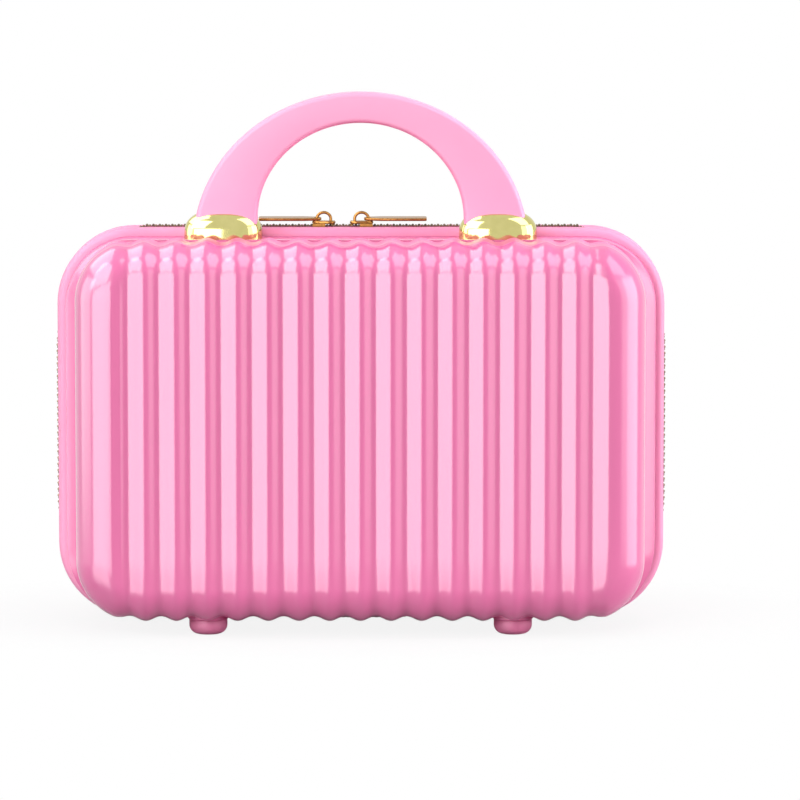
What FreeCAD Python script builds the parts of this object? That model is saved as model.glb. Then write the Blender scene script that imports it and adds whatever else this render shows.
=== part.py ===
import FreeCAD, Part
import math
import os

V = FreeCAD.Vector

# Ribbed hard-shell train case, in millimetres. The floor is z = 0, the front faces -Y,
# and the two halves meet at y = 0. Depths are counted from that parting plane outwards.

# Shell halves
BAND_WIDTH = 288.2       # smooth rim band, side to side
BAND_HEIGHT = 183.2
BAND_CORNER = 33.0
BAND_DEPTH = 34.0        # parting plane to the edge of the band
FLOOR_GAP = 7.1          # floor to the underside of the band
CASE_DEPTH = 140.0       # over both ribbed faces
WALL = 1.6
SIDE_STEP = 6.9          # band proud of the ribbed body at the sides
END_STEP = 0.3           # band proud of the ribbed body above and below
BODY_CORNER = 29.5
FACE_ROLL = 17.0         # radius that turns the face into the top, bottom and sides
ROLL_STEPS = 3           # flats in a quarter turn of that radius
HIDDEN_FLAT_COUNT = 5    # flats in a corner that other pieces cover

# Ribs
RIB_PITCH = 15.0
RIB_DEPTH = 2.4
RIB_SINK = 0.3           # crests below the plain corners of the body
RIB_FLATS = 6            # flats in one rib
RIB_END_SLOPE = 0.5      # slope of the last flank where it leaves the body

# Zipper and piping, from the middle of the chain outwards
CHAIN_GAP = 0.9          # slot between the two rows of teeth, where the slider's post runs
CHAIN_WIDTH = 2.15       # one row
CHAIN_HEIGHT = 2.4
CHAIN_OVER = 0.95        # chain proud of the piping
TAPE_EDGE = 0.7          # tape where the teeth are clamped on
TAPE_FOOT = 0.75         # tape where it meets the piping
FLANGE_CLEARANCE = 0.7
FLANGE_THICKNESS = 0.8
PIPING_CLEARANCE = 0.3   # slider to piping
PIPING_WIDTH = 6.0
PIPING_PROUD = 4.3
PIPING_SIDE = 1.2        # straight side of the bead below its crown
PIPING_FLATS = 3

# Sliders and pulls
SLIDER_LEFT_X = -18.2
SLIDER_RIGHT_X = 0.3
SLIDER_LENGTH = 11.5
SLIDER_TOP = 1.5         # thickness of the upper plate
SLIDER_BASE = 1.2        # thickness of the lower plate
SLIDER_FLANGE_LENGTH = 6.5
CHAIN_CLEARANCE = 0.2    # chain to the upper plate
BASE_CLEARANCE = 0.35    # chain to the lower plate
TAPE_CLEARANCE = 0.35    # tape to a flange
POST_THICKNESS = 0.6
POST_LENGTH = 1.6
BAIL_RADIUS = 3.4        # to the middle of its wire
BAIL_WIRE = 1.4
PULL_LENGTH = 28.5       # from the eye to the tip
PULL_WIDTH = 6.5
PULL_NECK = 4.4          # width at the eye
PULL_THICKNESS = 1.4
PULL_CLEARANCE = 0.25    # pull to the slider's plate
EYE_CLEARANCE = 0.22     # corner of the bail's wire to the eye

# Hinge strip and chain ends
HINGE_LENGTH = 38.0
HINGE_THICKNESS = 0.8
HINGE_BULGE = 0.8
HINGE_CLEARANCE = 0.2
STOP_LENGTH = 2.6
STOP_OVER = 0.15         # end stop proud of the chain

# Feet
FOOT_X = 73.8            # middle of the case to a foot
FOOT_DEPTH = 45.0
FOOT_DIAMETER = 18.5
FOOT_PAD = 20.0          # flat on the shell above a foot
FOOT_ROUND = 3.2
SCREW_RADIUS = 1.5
SCREW_CLEARANCE = 0.1    # radial, in what it passes through
THREAD_CLEARANCE = 0.05  # radial, in what it bites into
SCREW_SIDES = 6
HEAD_RADIUS = 2.9
HEAD_HEIGHT = 1.3
HEAD_CLEARANCE = 0.25
FOOT_SCREW_BITE = 4.4

# Handle
HANDLE_OUTER_HALF = 81.2
HANDLE_OUTER_RISE = 73.9
HANDLE_OUTER_DROP = 2.9  # middle of the outer ellipse below the top of the band
HANDLE_INNER_HALF = 50.0
HANDLE_INNER_RISE = 46.9
HANDLE_INNER_LIFT = 9.3  # middle of the inner ellipse above the top of the band
HANDLE_ROUND = 2.2
CAP_LENGTH = 38.0
CAP_HEIGHT = 12.8
CAP_CORNER_SHARE = 0.4   # corner radius as a share of the cap's depth
CAP_ROUND = 6.5
CAP_FLATS = 2
CAP_FLOOR = 2.0
CAP_LIP = 3.75           # cap beyond the handle's faces
CAP_SHIFT = 1.0          # cap outwards of its leg
CAP_CLEARANCE = 1.1      # cap to piping
SOCKET_CLEARANCE = 0.1
PLATE_LENGTH = 32.0
PLATE_WIDTH = 15.0
PLATE_THICKNESS = 1.5
HANDLE_SCREW_SPACING = 16.0
HANDLE_SCREW_BITE = 10.0

# Lining
LINING_CLEARANCE = 0.3   # to the shell
LINING = 1.0
BINDING = 3.0            # along the depth, at the rim
POCKET_LENGTH = 190.0
POCKET_HEIGHT = 105.0
POCKET_THICKNESS = 1.2
POCKET_HEM = 11.0
POCKET_HEM_OVER = 0.8
POCKET_DROP = 12.0       # pocket below the middle of the lid
STRAP_LENGTH = 216.0
STRAP_WIDTH = 25.0
STRAP_THICKNESS = 1.2
ANCHOR_LENGTH = 14.0
ANCHOR_MARGIN = 5.0      # anchor beyond the strap's edges
ANCHOR_THICKNESS = 1.0

# Places worked out from the sizes above
MIDDLE = FLOOR_GAP + BAND_HEIGHT / 2
BAND_TOP = FLOOR_GAP + BAND_HEIGHT
BAND_HALF = BAND_WIDTH / 2
BAND_RISE = BAND_HEIGHT / 2
BODY_HALF = BAND_HALF - SIDE_STEP
BODY_RISE = BAND_RISE - END_STEP
BODY_BOTTOM = MIDDLE - BODY_RISE
FACE_DEPTH = CASE_DEPTH / 2
RIB_REACH = RIB_SINK + RIB_DEPTH
RIBS_EACH_SIDE = int((BODY_HALF - FACE_ROLL) / RIB_PITCH)
SKIN = RIB_REACH + WALL              # plain surface to the smooth inside
ROLL_START = FACE_DEPTH - FACE_ROLL
CHAIN_NEAR = CHAIN_GAP / 2
CHAIN_FAR = CHAIN_NEAR + CHAIN_WIDTH
FLANGE_NEAR = CHAIN_FAR + FLANGE_CLEARANCE
FLANGE_FAR = FLANGE_NEAR + FLANGE_THICKNESS
PIPING_NEAR = FLANGE_FAR + PIPING_CLEARANCE
PIPING_FAR = PIPING_NEAR + PIPING_WIDTH
CHAIN_TOP = PIPING_PROUD + CHAIN_OVER
CHAIN_BOTTOM = CHAIN_TOP - CHAIN_HEIGHT
CHAIN_MIDDLE = (CHAIN_TOP + CHAIN_BOTTOM) / 2
TAPE_TOP = CHAIN_MIDDLE + TAPE_EDGE / 2
TAPE_BOTTOM = CHAIN_MIDDLE - TAPE_EDGE / 2
LINING_HALF = BODY_HALF - SKIN - LINING_CLEARANCE
LINING_RISE = BODY_RISE - SKIN - LINING_CLEARANCE
LINING_CORNER = BODY_CORNER - SKIN - LINING_CLEARANCE
LINING_ROLL = FACE_ROLL - SKIN - LINING_CLEARANCE
LINING_DEPTH = FACE_DEPTH - SKIN - LINING_CLEARANCE
HEAD_SEAT = BODY_BOTTOM + SKIN - HEAD_HEIGHT - HEAD_CLEARANCE
CAP_DEPTH = BAND_DEPTH - PIPING_FAR - CAP_CLEARANCE
HANDLE_Y = -(BAND_DEPTH - CAP_DEPTH / 2)
HANDLE_THICKNESS = CAP_DEPTH - 2 * CAP_LIP
LEG_X = (HANDLE_OUTER_HALF + HANDLE_INNER_HALF) / 2
LEG_FOOT = BAND_TOP + CAP_FLOOR
PLATE_TOP = BAND_TOP - WALL
SLIDER_UNDER = BAND_TOP + CHAIN_TOP + CHAIN_CLEARANCE
BAIL_CENTRE = SLIDER_UNDER + SLIDER_TOP + PULL_CLEARANCE + PULL_THICKNESS / 2


def save(shape, node):
    shape.exportStep(f"parts/{node}.step")


def rear(shape):
    """The same piece on the other half of the case."""
    return shape.mirror(V(0, 0, 0), V(0, 1, 0))


def polygon(points):
    return Part.Wire([Part.LineSegment(a, b).toShape() for a, b in zip(points, points[1:] + points[:1])])


def box(low, high):
    return Part.makeBox(high[0] - low[0], high[1] - low[1], high[2] - low[2], V(*low))


def rounded(half_a, half_b, corner, place, flats=0):
    """Rounded rectangle; place turns its two coordinates into a point.

    The corners are arcs, or that many flats."""
    edges = []
    for quarter, (side_a, side_b) in enumerate(((1, 1), (1, -1), (-1, -1), (-1, 1))):

        def on_corner(share):
            turn = math.pi / 2 * (1 - quarter - share)
            return place(side_a * (half_a - corner) + corner * math.cos(turn),
                         side_b * (half_b - corner) + corner * math.sin(turn))

        if edges:
            edges.append(Part.LineSegment(edges[-1].Vertexes[-1].Point, on_corner(0)).toShape())
        for index in range(flats):
            ends = on_corner(index / flats), on_corner((index + 1) / flats)
            edges.append(Part.LineSegment(*ends).toShape())
        if not flats:
            edges.append(Part.Arc(on_corner(0), on_corner(0.5), on_corner(1)).toShape())
    edges.append(Part.LineSegment(edges[-1].Vertexes[-1].Point, edges[0].Vertexes[0].Point).toShape())
    return Part.Wire(edges)


def outline(half, rise, corner, depth, flats=0):
    """Outline of the case in the plane that lies depth in front of the parting plane."""
    return rounded(half, rise, corner, lambda x, z: V(x, -depth, MIDDLE + z), flats)


def band_outline(offset, depth, flats=0):
    return outline(BAND_HALF + offset, BAND_RISE + offset, BAND_CORNER + offset, depth, flats)


def loft(wires):
    """Ruled solid through like wires, with plain flat faces where every edge is straight."""
    if any(not isinstance(edge.Curve, Part.Line) for wire in wires for edge in wire.Edges):
        return Part.makeLoft(wires, True, True)
    rings = [[vertex.Point for vertex in wire.OrderedVertexes] for wire in wires]
    faces = [Part.Face(polygon(rings[0])), Part.Face(polygon(rings[-1]))]
    for ring, after in zip(rings, rings[1:]):
        for index in range(len(ring)):
            corners = [ring[index - 1], ring[index], after[index], after[index - 1]]
            faces.append(Part.Face(polygon(corners)))
    shell = Part.Shell(faces)
    shell.sewShape()
    return Part.Solid(shell)


def block(half, rise, corner, back, front, roll=0.0, steps=1, flats=0):
    """Block from back to front, whose front edge is rolled over in flats."""
    wires = [outline(half, rise, corner, back, flats)]
    if not roll:
        return loft(wires + [outline(half, rise, corner, front, flats)])
    for step in range(steps + 1):
        turn = math.pi / 2 * step / steps
        inset = roll * (1 - math.cos(turn))
        depth = front - roll + roll * math.sin(turn)
        wires.append(outline(half - inset, rise - inset, corner - inset, depth, flats))
    return loft(wires)


def band_ring(profile_outer, profile_inner, flats=0):
    """Ring round the band between two lofts, each through (depth, offset from the band) pairs."""
    outer = loft([band_outline(offset, depth, flats) for depth, offset in profile_outer])
    inner = loft([band_outline(offset, depth, flats) for depth, offset in profile_inner])
    return outer.cut(inner)


def rib_cutter():
    """The air between the ribs: a wave swept over the top, down the face and under the bottom."""
    trough = RIB_PITCH * (RIBS_EACH_SIDE - 0.5)
    flank = trough + RIB_PITCH / 4
    step = RIB_PITCH / RIB_FLATS
    amplitude = RIB_DEPTH / 2
    wave = []
    for index in range(-RIBS_EACH_SIDE * RIB_FLATS, RIBS_EACH_SIDE * RIB_FLATS):
        x = (index + 0.5) * step
        if abs(x) <= flank:
            wave.append((x, RIB_SINK + amplitude * (1 - math.cos(2 * math.pi * x / RIB_PITCH))))
    end_x, end_sink = wave[-1]
    outside = RIB_REACH + END_STEP
    far = end_x + (end_sink + outside) / RIB_END_SLOPE
    profile = [(-far, -outside)] + wave + [(far, -outside)]

    back = BAND_DEPTH - WALL / 2
    path = [V(0, -back, MIDDLE + BODY_RISE)]
    for quarter, side in ((0, 1), (1, -1)):
        for index in range(ROLL_STEPS + 1):
            turn = math.pi / 2 * (quarter + index / ROLL_STEPS)
            y = -ROLL_START - FACE_ROLL * math.sin(turn)
            path.append(V(0, y, MIDDLE + side * (BODY_RISE - FACE_ROLL) + FACE_ROLL * math.cos(turn)))
    path.append(V(0, -back, MIDDLE - BODY_RISE))
    spine = Part.Wire([Part.LineSegment(a, b).toShape() for a, b in zip(path, path[1:])])
    comb = polygon([V(x, -back, MIDDLE + BODY_RISE - sink) for x, sink in profile])
    mitred_corners = 1
    return spine.makePipeShell([comb], True, False, mitred_corners)


def rod(radius, length, x, y, low):
    """Upright six-sided rod, measured across its flats, for screws and their holes."""
    reach = radius / math.cos(math.pi / SCREW_SIDES)
    turns = [2 * math.pi * index / SCREW_SIDES for index in range(SCREW_SIDES)]
    ring = polygon([V(x + reach * math.cos(turn), y + reach * math.sin(turn), low) for turn in turns])
    return Part.Face(ring).extrude(V(0, 0, length))


def foot_places():
    return [(side * FOOT_X, -FOOT_DEPTH) for side in (-1, 1)]


def handle_screw_places():
    half = HANDLE_SCREW_SPACING / 2
    return [(side * LEG_X + shift, HANDLE_Y) for side in (-1, 1) for shift in (-half, half)]


def half_shell():
    """Ribbed body and smooth rim band in one wall, smooth inside, with flats for the feet."""
    overlap = BAND_DEPTH - FACE_ROLL / 2
    body = block(BODY_HALF, BODY_RISE, BODY_CORNER, overlap, FACE_DEPTH, FACE_ROLL, ROLL_STEPS)
    solid = body.cut(rib_cutter())
    solid = solid.fuse(block(BAND_HALF, BAND_RISE, BAND_CORNER, PIPING_NEAR, BAND_DEPTH))
    for x, y in foot_places():
        solid = solid.fuse(Part.makeCylinder(FOOT_PAD / 2, SKIN, V(x, y, BODY_BOTTOM)))
    hollow = block(BODY_HALF - WALL, BODY_RISE - SKIN, BODY_CORNER - WALL, overlap - WALL,
                   FACE_DEPTH - SKIN, FACE_ROLL - SKIN, flats=HIDDEN_FLAT_COUNT)
    band_hollow = block(BAND_HALF - WALL, BAND_RISE - WALL, BAND_CORNER - WALL, 0, BAND_DEPTH - WALL,
                        flats=HIDDEN_FLAT_COUNT)
    solid = solid.cut(hollow.fuse(band_hollow))
    for x, y in foot_places():
        hole = rod(SCREW_RADIUS + SCREW_CLEARANCE, 2 * SKIN, x, y, BODY_BOTTOM - SKIN / 2)
        recess = rod(HEAD_RADIUS + HEAD_CLEARANCE, SKIN, x, y, HEAD_SEAT)
        solid = solid.cut(hole.fuse(recess))
    return solid


def drilled_for_handle(shell):
    for x, y in handle_screw_places():
        shell = shell.cut(rod(SCREW_RADIUS + SCREW_CLEARANCE, 3 * WALL, x, y, BAND_TOP - 2 * WALL))
    return shell


def half_piping():
    """Bead along the rim: flat against the band, with straight sides and an arched crown."""
    profile = []
    for index in range(PIPING_FLATS + 1):
        turn = math.pi * index / PIPING_FLATS
        depth = PIPING_NEAR + PIPING_WIDTH / 2 * (1 - math.cos(turn))
        profile.append((depth, PIPING_SIDE + (PIPING_PROUD - PIPING_SIDE) * math.sin(turn)))
    return band_ring(profile, [(PIPING_NEAR, 0.0), (PIPING_FAR, 0.0)])


def half_tape():
    """Woven tape that climbs from the foot of the piping to the teeth."""
    top = [(CHAIN_FAR, TAPE_TOP), (PIPING_NEAR, TAPE_FOOT)]
    bottom = [(CHAIN_FAR, TAPE_BOTTOM), (PIPING_NEAR, 0.0)]
    return band_ring(top, bottom, HIDDEN_FLAT_COUNT)


def half_chain():
    """One row of teeth as a plain strip, open at the bottom where the hinge strip is."""
    top = [(CHAIN_NEAR, CHAIN_TOP), (CHAIN_FAR, CHAIN_TOP)]
    bottom = [(CHAIN_NEAR, CHAIN_BOTTOM), (CHAIN_FAR, CHAIN_BOTTOM)]
    end = HINGE_LENGTH / 2 + HINGE_CLEARANCE + STOP_LENGTH
    gap = box((-end, -CHAIN_FAR, 0), (end, 0, FLOOR_GAP))
    return band_ring(top, bottom, HIDDEN_FLAT_COUNT).cut(gap)


def half_end_stops():
    stops = []
    near = HINGE_LENGTH / 2 + HINGE_CLEARANCE
    for low in (near, -near - STOP_LENGTH):
        bottom = FLOOR_GAP - CHAIN_TOP - STOP_OVER
        top = FLOOR_GAP - CHAIN_BOTTOM + STOP_OVER
        stops.append(box((low, -CHAIN_FAR, bottom), (low + STOP_LENGTH, -CHAIN_NEAR, top)))
    return Part.makeCompound(stops)


def hinge_strip():
    """Sewn strip under the case that joins the halves, bowed out between the two tapes."""
    edge = PIPING_NEAR - HINGE_CLEARANCE
    foot = TAPE_FOOT + (TAPE_TOP - TAPE_FOOT) * HINGE_CLEARANCE / (PIPING_NEAR - CHAIN_FAR)
    inner = [(edge, foot), (CHAIN_FAR, TAPE_TOP)]
    outer = [(edge, foot + HINGE_THICKNESS), (CHAIN_FAR, TAPE_TOP + HINGE_THICKNESS)]
    bow = [(0.0, TAPE_TOP + HINGE_THICKNESS + HINGE_BULGE)]
    section = [(-y, off) for y, off in inner] + [(y, off) for y, off in reversed(inner)]
    section += outer + bow + [(-y, off) for y, off in reversed(outer)]
    half = HINGE_LENGTH / 2
    face = Part.Face(polygon([V(-half, y, FLOOR_GAP - off) for y, off in section]))
    return face.extrude(V(HINGE_LENGTH, 0, 0))


def half_lining():
    """Cloth tray with a single slanted edge round its floor."""
    outer = block(LINING_HALF, LINING_RISE, LINING_CORNER, PIPING_NEAR, LINING_DEPTH, LINING_ROLL,
                  flats=HIDDEN_FLAT_COUNT)
    inner = block(LINING_HALF - LINING, LINING_RISE - LINING, LINING_CORNER - LINING, 0,
                  LINING_DEPTH - LINING, LINING_ROLL - LINING, flats=HIDDEN_FLAT_COUNT)
    return outer.cut(inner)


def half_binding():
    """Flat ring at the rim that closes the space between lining and shell."""
    edge = PIPING_NEAR + BINDING
    outer = block(BAND_HALF - WALL, BAND_RISE - WALL, BAND_CORNER - WALL, PIPING_NEAR, edge,
                  flats=HIDDEN_FLAT_COUNT)
    inner = block(LINING_HALF, LINING_RISE, LINING_CORNER, PIPING_NEAR, edge, flats=HIDDEN_FLAT_COUNT)
    return outer.cut(inner)


def foot_profile():
    """Half section of a foot, as (radius, height) pairs."""
    radius = FOOT_DIAMETER / 2
    return [(0, 0), (radius - FOOT_ROUND, 0), (radius, FOOT_ROUND), (radius, BODY_BOTTOM), (0, BODY_BOTTOM)]


def half_feet():
    feet = []
    for x, y in foot_places():
        face = Part.Face(polygon([V(x + radius, y, height) for radius, height in foot_profile()]))
        foot = face.revolve(V(x, y, 0), V(0, 0, 1), 360)
        depth = FOOT_SCREW_BITE + THREAD_CLEARANCE
        feet.append(foot.cut(rod(SCREW_RADIUS + THREAD_CLEARANCE, depth, x, y, BODY_BOTTOM - depth)))
    return Part.makeCompound(feet)


def half_foot_screws():
    tip = BODY_BOTTOM - FOOT_SCREW_BITE
    screws = []
    for x, y in foot_places():
        head = rod(HEAD_RADIUS, HEAD_HEIGHT, x, y, HEAD_SEAT)
        screws.append(head.fuse(rod(SCREW_RADIUS, HEAD_SEAT - tip, x, y, tip)))
    return Part.makeCompound(screws)


def handle_face(inset, depth):
    """Outline of the arched handle at one depth; inset narrows the arch from both edges."""
    y = HANDLE_Y + depth
    outer_half = HANDLE_OUTER_HALF - inset
    outer_rise = HANDLE_OUTER_RISE - inset
    inner_half = HANDLE_INNER_HALF + inset
    inner_rise = HANDLE_INNER_RISE + inset
    outer_z = BAND_TOP - HANDLE_OUTER_DROP
    inner_z = BAND_TOP + HANDLE_INNER_LIFT
    start = math.asin((LEG_FOOT - outer_z) / outer_rise)

    def arch(half, rise, z, low):
        tips = [V(half, y, z), V(0, y, z + rise)]
        if rise > half:
            tips.reverse()
        ellipse = Part.Ellipse(*tips, V(0, y, z))
        left = V(-half * math.cos(low), y, z + rise * math.sin(low))
        right = V(half * math.cos(low), y, z + rise * math.sin(low))
        ends = sorted((ellipse.parameter(left), ellipse.parameter(right)))
        edge = Part.ArcOfEllipse(ellipse, *ends).toShape()
        if edge.BoundBox.ZMax < z + rise / 2:
            edge = Part.ArcOfEllipse(ellipse, ends[1], ends[0] + 2 * math.pi).toShape()
        return edge, left, right

    outer, outer_left, outer_right = arch(outer_half, outer_rise, outer_z, start)
    inner, inner_left, inner_right = arch(inner_half, inner_rise, inner_z, 0.0)
    foot_left = V(inner_left.x, y, LEG_FOOT)
    foot_right = V(inner_right.x, y, LEG_FOOT)
    lines = [(outer_right, foot_right), (foot_right, inner_right), (inner_left, foot_left),
             (foot_left, outer_left)]
    edges = [outer, inner] + [Part.LineSegment(a, b).toShape() for a, b in lines]
    return Part.Wire(Part.__sortEdges__(edges))


def handle_grip():
    """Moulded arch with rounded edges, drilled from below for its screws."""
    half = HANDLE_THICKNESS / 2
    edge = [(HANDLE_ROUND, half), (0.0, half - HANDLE_ROUND)]
    profile = [(inset, -depth) for inset, depth in edge] + edge[::-1]
    grip = loft([handle_face(inset, depth) for inset, depth in profile])
    depth = HANDLE_SCREW_BITE + THREAD_CLEARANCE
    for x, y in handle_screw_places():
        grip = grip.cut(rod(SCREW_RADIUS + THREAD_CLEARANCE, depth, x, y, LEG_FOOT))
    return grip


def handle_caps():
    """Domed metal caps that hold the handle's legs on the band."""
    socket_half = HANDLE_THICKNESS / 2 + SOCKET_CLEARANCE
    socket = loft([handle_face(-SOCKET_CLEARANCE, depth) for depth in (-socket_half, socket_half)])
    corner = CAP_CORNER_SHARE * CAP_DEPTH
    caps = []
    for side in (-1, 1):
        middle = side * (LEG_X + CAP_SHIFT)
        wires = []
        levels = [(0.0, 0.0)]
        for index in range(CAP_FLATS + 1):
            turn = math.pi / 2 * index / CAP_FLATS
            inset = CAP_ROUND * (1 - math.cos(turn))
            levels.append((inset, CAP_HEIGHT - CAP_ROUND * (1 - math.sin(turn))))
        for inset, level in levels:
            wires.append(rounded(CAP_LENGTH / 2 - inset, CAP_DEPTH / 2 - inset, corner - inset,
                                 lambda x, y: V(middle + x, HANDLE_Y + y, BAND_TOP + level)))
        cap = loft(wires).cut(socket)
        for x, y in handle_screw_places():
            low = BAND_TOP - CAP_FLOOR / 2
            cap = cap.cut(rod(SCREW_RADIUS + SCREW_CLEARANCE, 2 * CAP_FLOOR, x, y, low))
        caps.append(cap)
    return Part.makeCompound(caps)


def handle_plates():
    """Steel plates under the band that spread the handle's load."""
    plates = []
    for side in (-1, 1):
        low = (side * LEG_X - PLATE_LENGTH / 2, HANDLE_Y - PLATE_WIDTH / 2, PLATE_TOP - PLATE_THICKNESS)
        plate = box(low, (low[0] + PLATE_LENGTH, low[1] + PLATE_WIDTH, PLATE_TOP))
        for x, y in handle_screw_places():
            low_end = PLATE_TOP - 1.5 * PLATE_THICKNESS
            plate = plate.cut(rod(SCREW_RADIUS + SCREW_CLEARANCE, 2 * PLATE_THICKNESS, x, y, low_end))
        plates.append(plate)
    return Part.makeCompound(plates)


def handle_screws():
    seat = PLATE_TOP - PLATE_THICKNESS
    screws = []
    for x, y in handle_screw_places():
        head = rod(HEAD_RADIUS, HEAD_HEIGHT, x, y, seat - HEAD_HEIGHT)
        screws.append(head.fuse(rod(SCREW_RADIUS, LEG_FOOT + HANDLE_SCREW_BITE - seat, x, y, seat)))
    return Part.makeCompound(screws)


def slider(x, head):
    """Zip slider: two plates joined by a post, flanges over the tape and a bail for the pull.

    head is the sign of the end that faces the other slider."""
    half = SLIDER_LENGTH / 2
    base_top = BAND_TOP + CHAIN_BOTTOM - BASE_CLEARANCE
    body = box((x - half, -FLANGE_FAR, SLIDER_UNDER), (x + half, FLANGE_FAR, SLIDER_UNDER + SLIDER_TOP))
    base_half = CHAIN_FAR + FLANGE_CLEARANCE / 2
    body = body.fuse(box((x - half, -base_half, base_top - SLIDER_BASE), (x + half, base_half, base_top)))
    tape_slope = (TAPE_TOP - TAPE_FOOT) / (PIPING_NEAR - CHAIN_FAR)
    flange_foot = BAND_TOP + TAPE_TOP - tape_slope * FLANGE_CLEARANCE + TAPE_CLEARANCE
    tail = sorted((x - head * half, x - head * (half - SLIDER_FLANGE_LENGTH)))
    for side in (-1, 1):
        walls = sorted((side * FLANGE_NEAR, side * FLANGE_FAR))
        body = body.fuse(box((tail[0], walls[0], flange_foot), (tail[1], walls[1], SLIDER_UNDER)))
    post = sorted((x + head * half, x + head * (half - POST_LENGTH)))
    post_half = POST_THICKNESS / 2
    body = body.fuse(box((post[0], -post_half, base_top), (post[1], post_half, SLIDER_UNDER)))

    wire = BAIL_WIRE / 2
    seat = SLIDER_UNDER + SLIDER_TOP
    centre = V(x, -wire, BAIL_CENTRE)

    def arch(radius):
        dome = Part.makeCylinder(radius, BAIL_WIRE, centre, V(0, 1, 0))
        legs = box((x - radius, -wire, seat), (x + radius, wire, BAIL_CENTRE))
        lower = box((x - radius, -wire, BAIL_CENTRE - radius), (x + radius, wire, seat))
        return dome.fuse(legs).cut(lower)

    bail = arch(BAIL_RADIUS + wire).cut(arch(BAIL_RADIUS - wire))
    return body.fuse(bail).removeSplitter()


def pull(x, head):
    """Flat bar that hangs on the bail by its eye and lies outwards at rest."""
    eye = V(x - head * BAIL_RADIUS, 0, BAIL_CENTRE - PULL_THICKNESS / 2)
    neck = PULL_NECK / 2
    half = PULL_WIDTH / 2
    tip = eye.x - head * PULL_LENGTH
    shoulder = eye.x - head * PULL_WIDTH
    edge = [(eye.x, neck), (shoulder, half), (tip, half)]
    around = edge + [(along, -across) for along, across in reversed(edge)]
    bar = polygon([V(along, across, eye.z) for along, across in around])
    up = V(0, 0, PULL_THICKNESS)
    shape = Part.Face(bar).extrude(up).fuse(Part.makeCylinder(neck, PULL_THICKNESS, eye))
    hole = BAIL_WIRE * math.sqrt(0.5) + EYE_CLEARANCE
    return shape.cut(Part.makeCylinder(hole, PULL_THICKNESS, eye)).removeSplitter()


def lid_pocket():
    """Flat slip pocket sewn on the floor of the lid's lining."""
    floor = -(LINING_DEPTH - LINING)
    top = MIDDLE + POCKET_HEIGHT / 2 - POCKET_DROP
    half = POCKET_LENGTH / 2
    return box((-half, floor, top - POCKET_HEIGHT), (half, floor + POCKET_THICKNESS, top))


def lid_pocket_elastic():
    floor = -(LINING_DEPTH - LINING)
    low = MIDDLE + POCKET_HEIGHT / 2 - POCKET_DROP
    half = POCKET_LENGTH / 2
    return box((-half, floor, low), (half, floor + POCKET_THICKNESS + POCKET_HEM_OVER, low + POCKET_HEM))


def retainer_strap():
    """Elastic strap that lies across the floor of the rear tray."""
    floor = LINING_DEPTH - LINING
    half = STRAP_LENGTH / 2
    rise = STRAP_WIDTH / 2
    return box((-half, floor - STRAP_THICKNESS, MIDDLE - rise), (half, floor, MIDDLE + rise))


def strap_anchors():
    face = LINING_DEPTH - LINING - STRAP_THICKNESS
    rise = STRAP_WIDTH / 2 + ANCHOR_MARGIN
    patches = []
    for low in (-STRAP_LENGTH / 2, STRAP_LENGTH / 2 - ANCHOR_LENGTH):
        near = (low, face - ANCHOR_THICKNESS, MIDDLE - rise)
        patches.append(box(near, (low + ANCHOR_LENGTH, face, MIDDLE + rise)))
    return Part.makeCompound(patches)


os.makedirs("parts", exist_ok=True)

# Pieces that both halves have
shell_half = half_shell()
save(drilled_for_handle(shell_half), "front_shell")
save(rear(shell_half), "rear_shell")
for node, make in (("piping", half_piping), ("zipper_tape", half_tape), ("zipper_chain", half_chain),
                   ("end_stops", half_end_stops), ("lining", half_lining), ("binding", half_binding),
                   ("feet", half_feet), ("foot_screws", half_foot_screws)):
    half_piece = make()
    save(half_piece, f"front_{node}")
    save(rear(half_piece), f"rear_{node}")

# Pieces that the case has once
for node, make in (("hinge_strip", hinge_strip), ("handle_grip", handle_grip), ("handle_caps", handle_caps),
                   ("handle_plates", handle_plates), ("handle_screws", handle_screws),
                   ("lid_pocket", lid_pocket), ("lid_pocket_elastic", lid_pocket_elastic),
                   ("retainer_strap", retainer_strap), ("strap_anchors", strap_anchors)):
    save(make(), node)

# Sliders close towards each other, each with its pull
for side_name, x, head in (("left", SLIDER_LEFT_X, 1), ("right", SLIDER_RIGHT_X, -1)):
    save(slider(x, head), f"slider_{side_name}")
    save(pull(x, head), f"pull_{side_name}")
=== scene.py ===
import math

import bmesh
import bpy
from mathutils import Matrix, Vector, noise


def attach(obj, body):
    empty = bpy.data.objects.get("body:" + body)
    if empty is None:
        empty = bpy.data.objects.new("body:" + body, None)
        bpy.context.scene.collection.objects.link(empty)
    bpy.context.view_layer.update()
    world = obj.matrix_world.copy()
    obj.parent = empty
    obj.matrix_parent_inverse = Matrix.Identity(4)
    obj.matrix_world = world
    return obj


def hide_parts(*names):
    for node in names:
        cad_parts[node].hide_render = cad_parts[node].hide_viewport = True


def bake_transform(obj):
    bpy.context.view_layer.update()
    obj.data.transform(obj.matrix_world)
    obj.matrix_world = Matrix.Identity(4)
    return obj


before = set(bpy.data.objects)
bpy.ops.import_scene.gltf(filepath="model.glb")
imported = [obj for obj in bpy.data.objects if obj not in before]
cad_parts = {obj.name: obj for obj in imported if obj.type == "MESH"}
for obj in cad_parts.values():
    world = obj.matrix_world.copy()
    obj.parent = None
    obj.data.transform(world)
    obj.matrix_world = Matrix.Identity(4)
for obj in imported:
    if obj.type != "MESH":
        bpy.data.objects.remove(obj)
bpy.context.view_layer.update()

# Shell halves: two like trays of pink ABS sheet, drawn hot over a mould, with ribs between plain corners.
# Each tray ends in a smooth band that stands a little proud and carries the zip.
# Sizes are in millimetres, and depths count from the plane where the halves meet.
HALVES = (("front", -1), ("rear", 1))
MIDDLE = 98.7
BAND_HALF, BAND_RISE, BAND_CORNER, BAND_DEPTH = 144.1, 91.6, 33.0, 34.0
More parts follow.
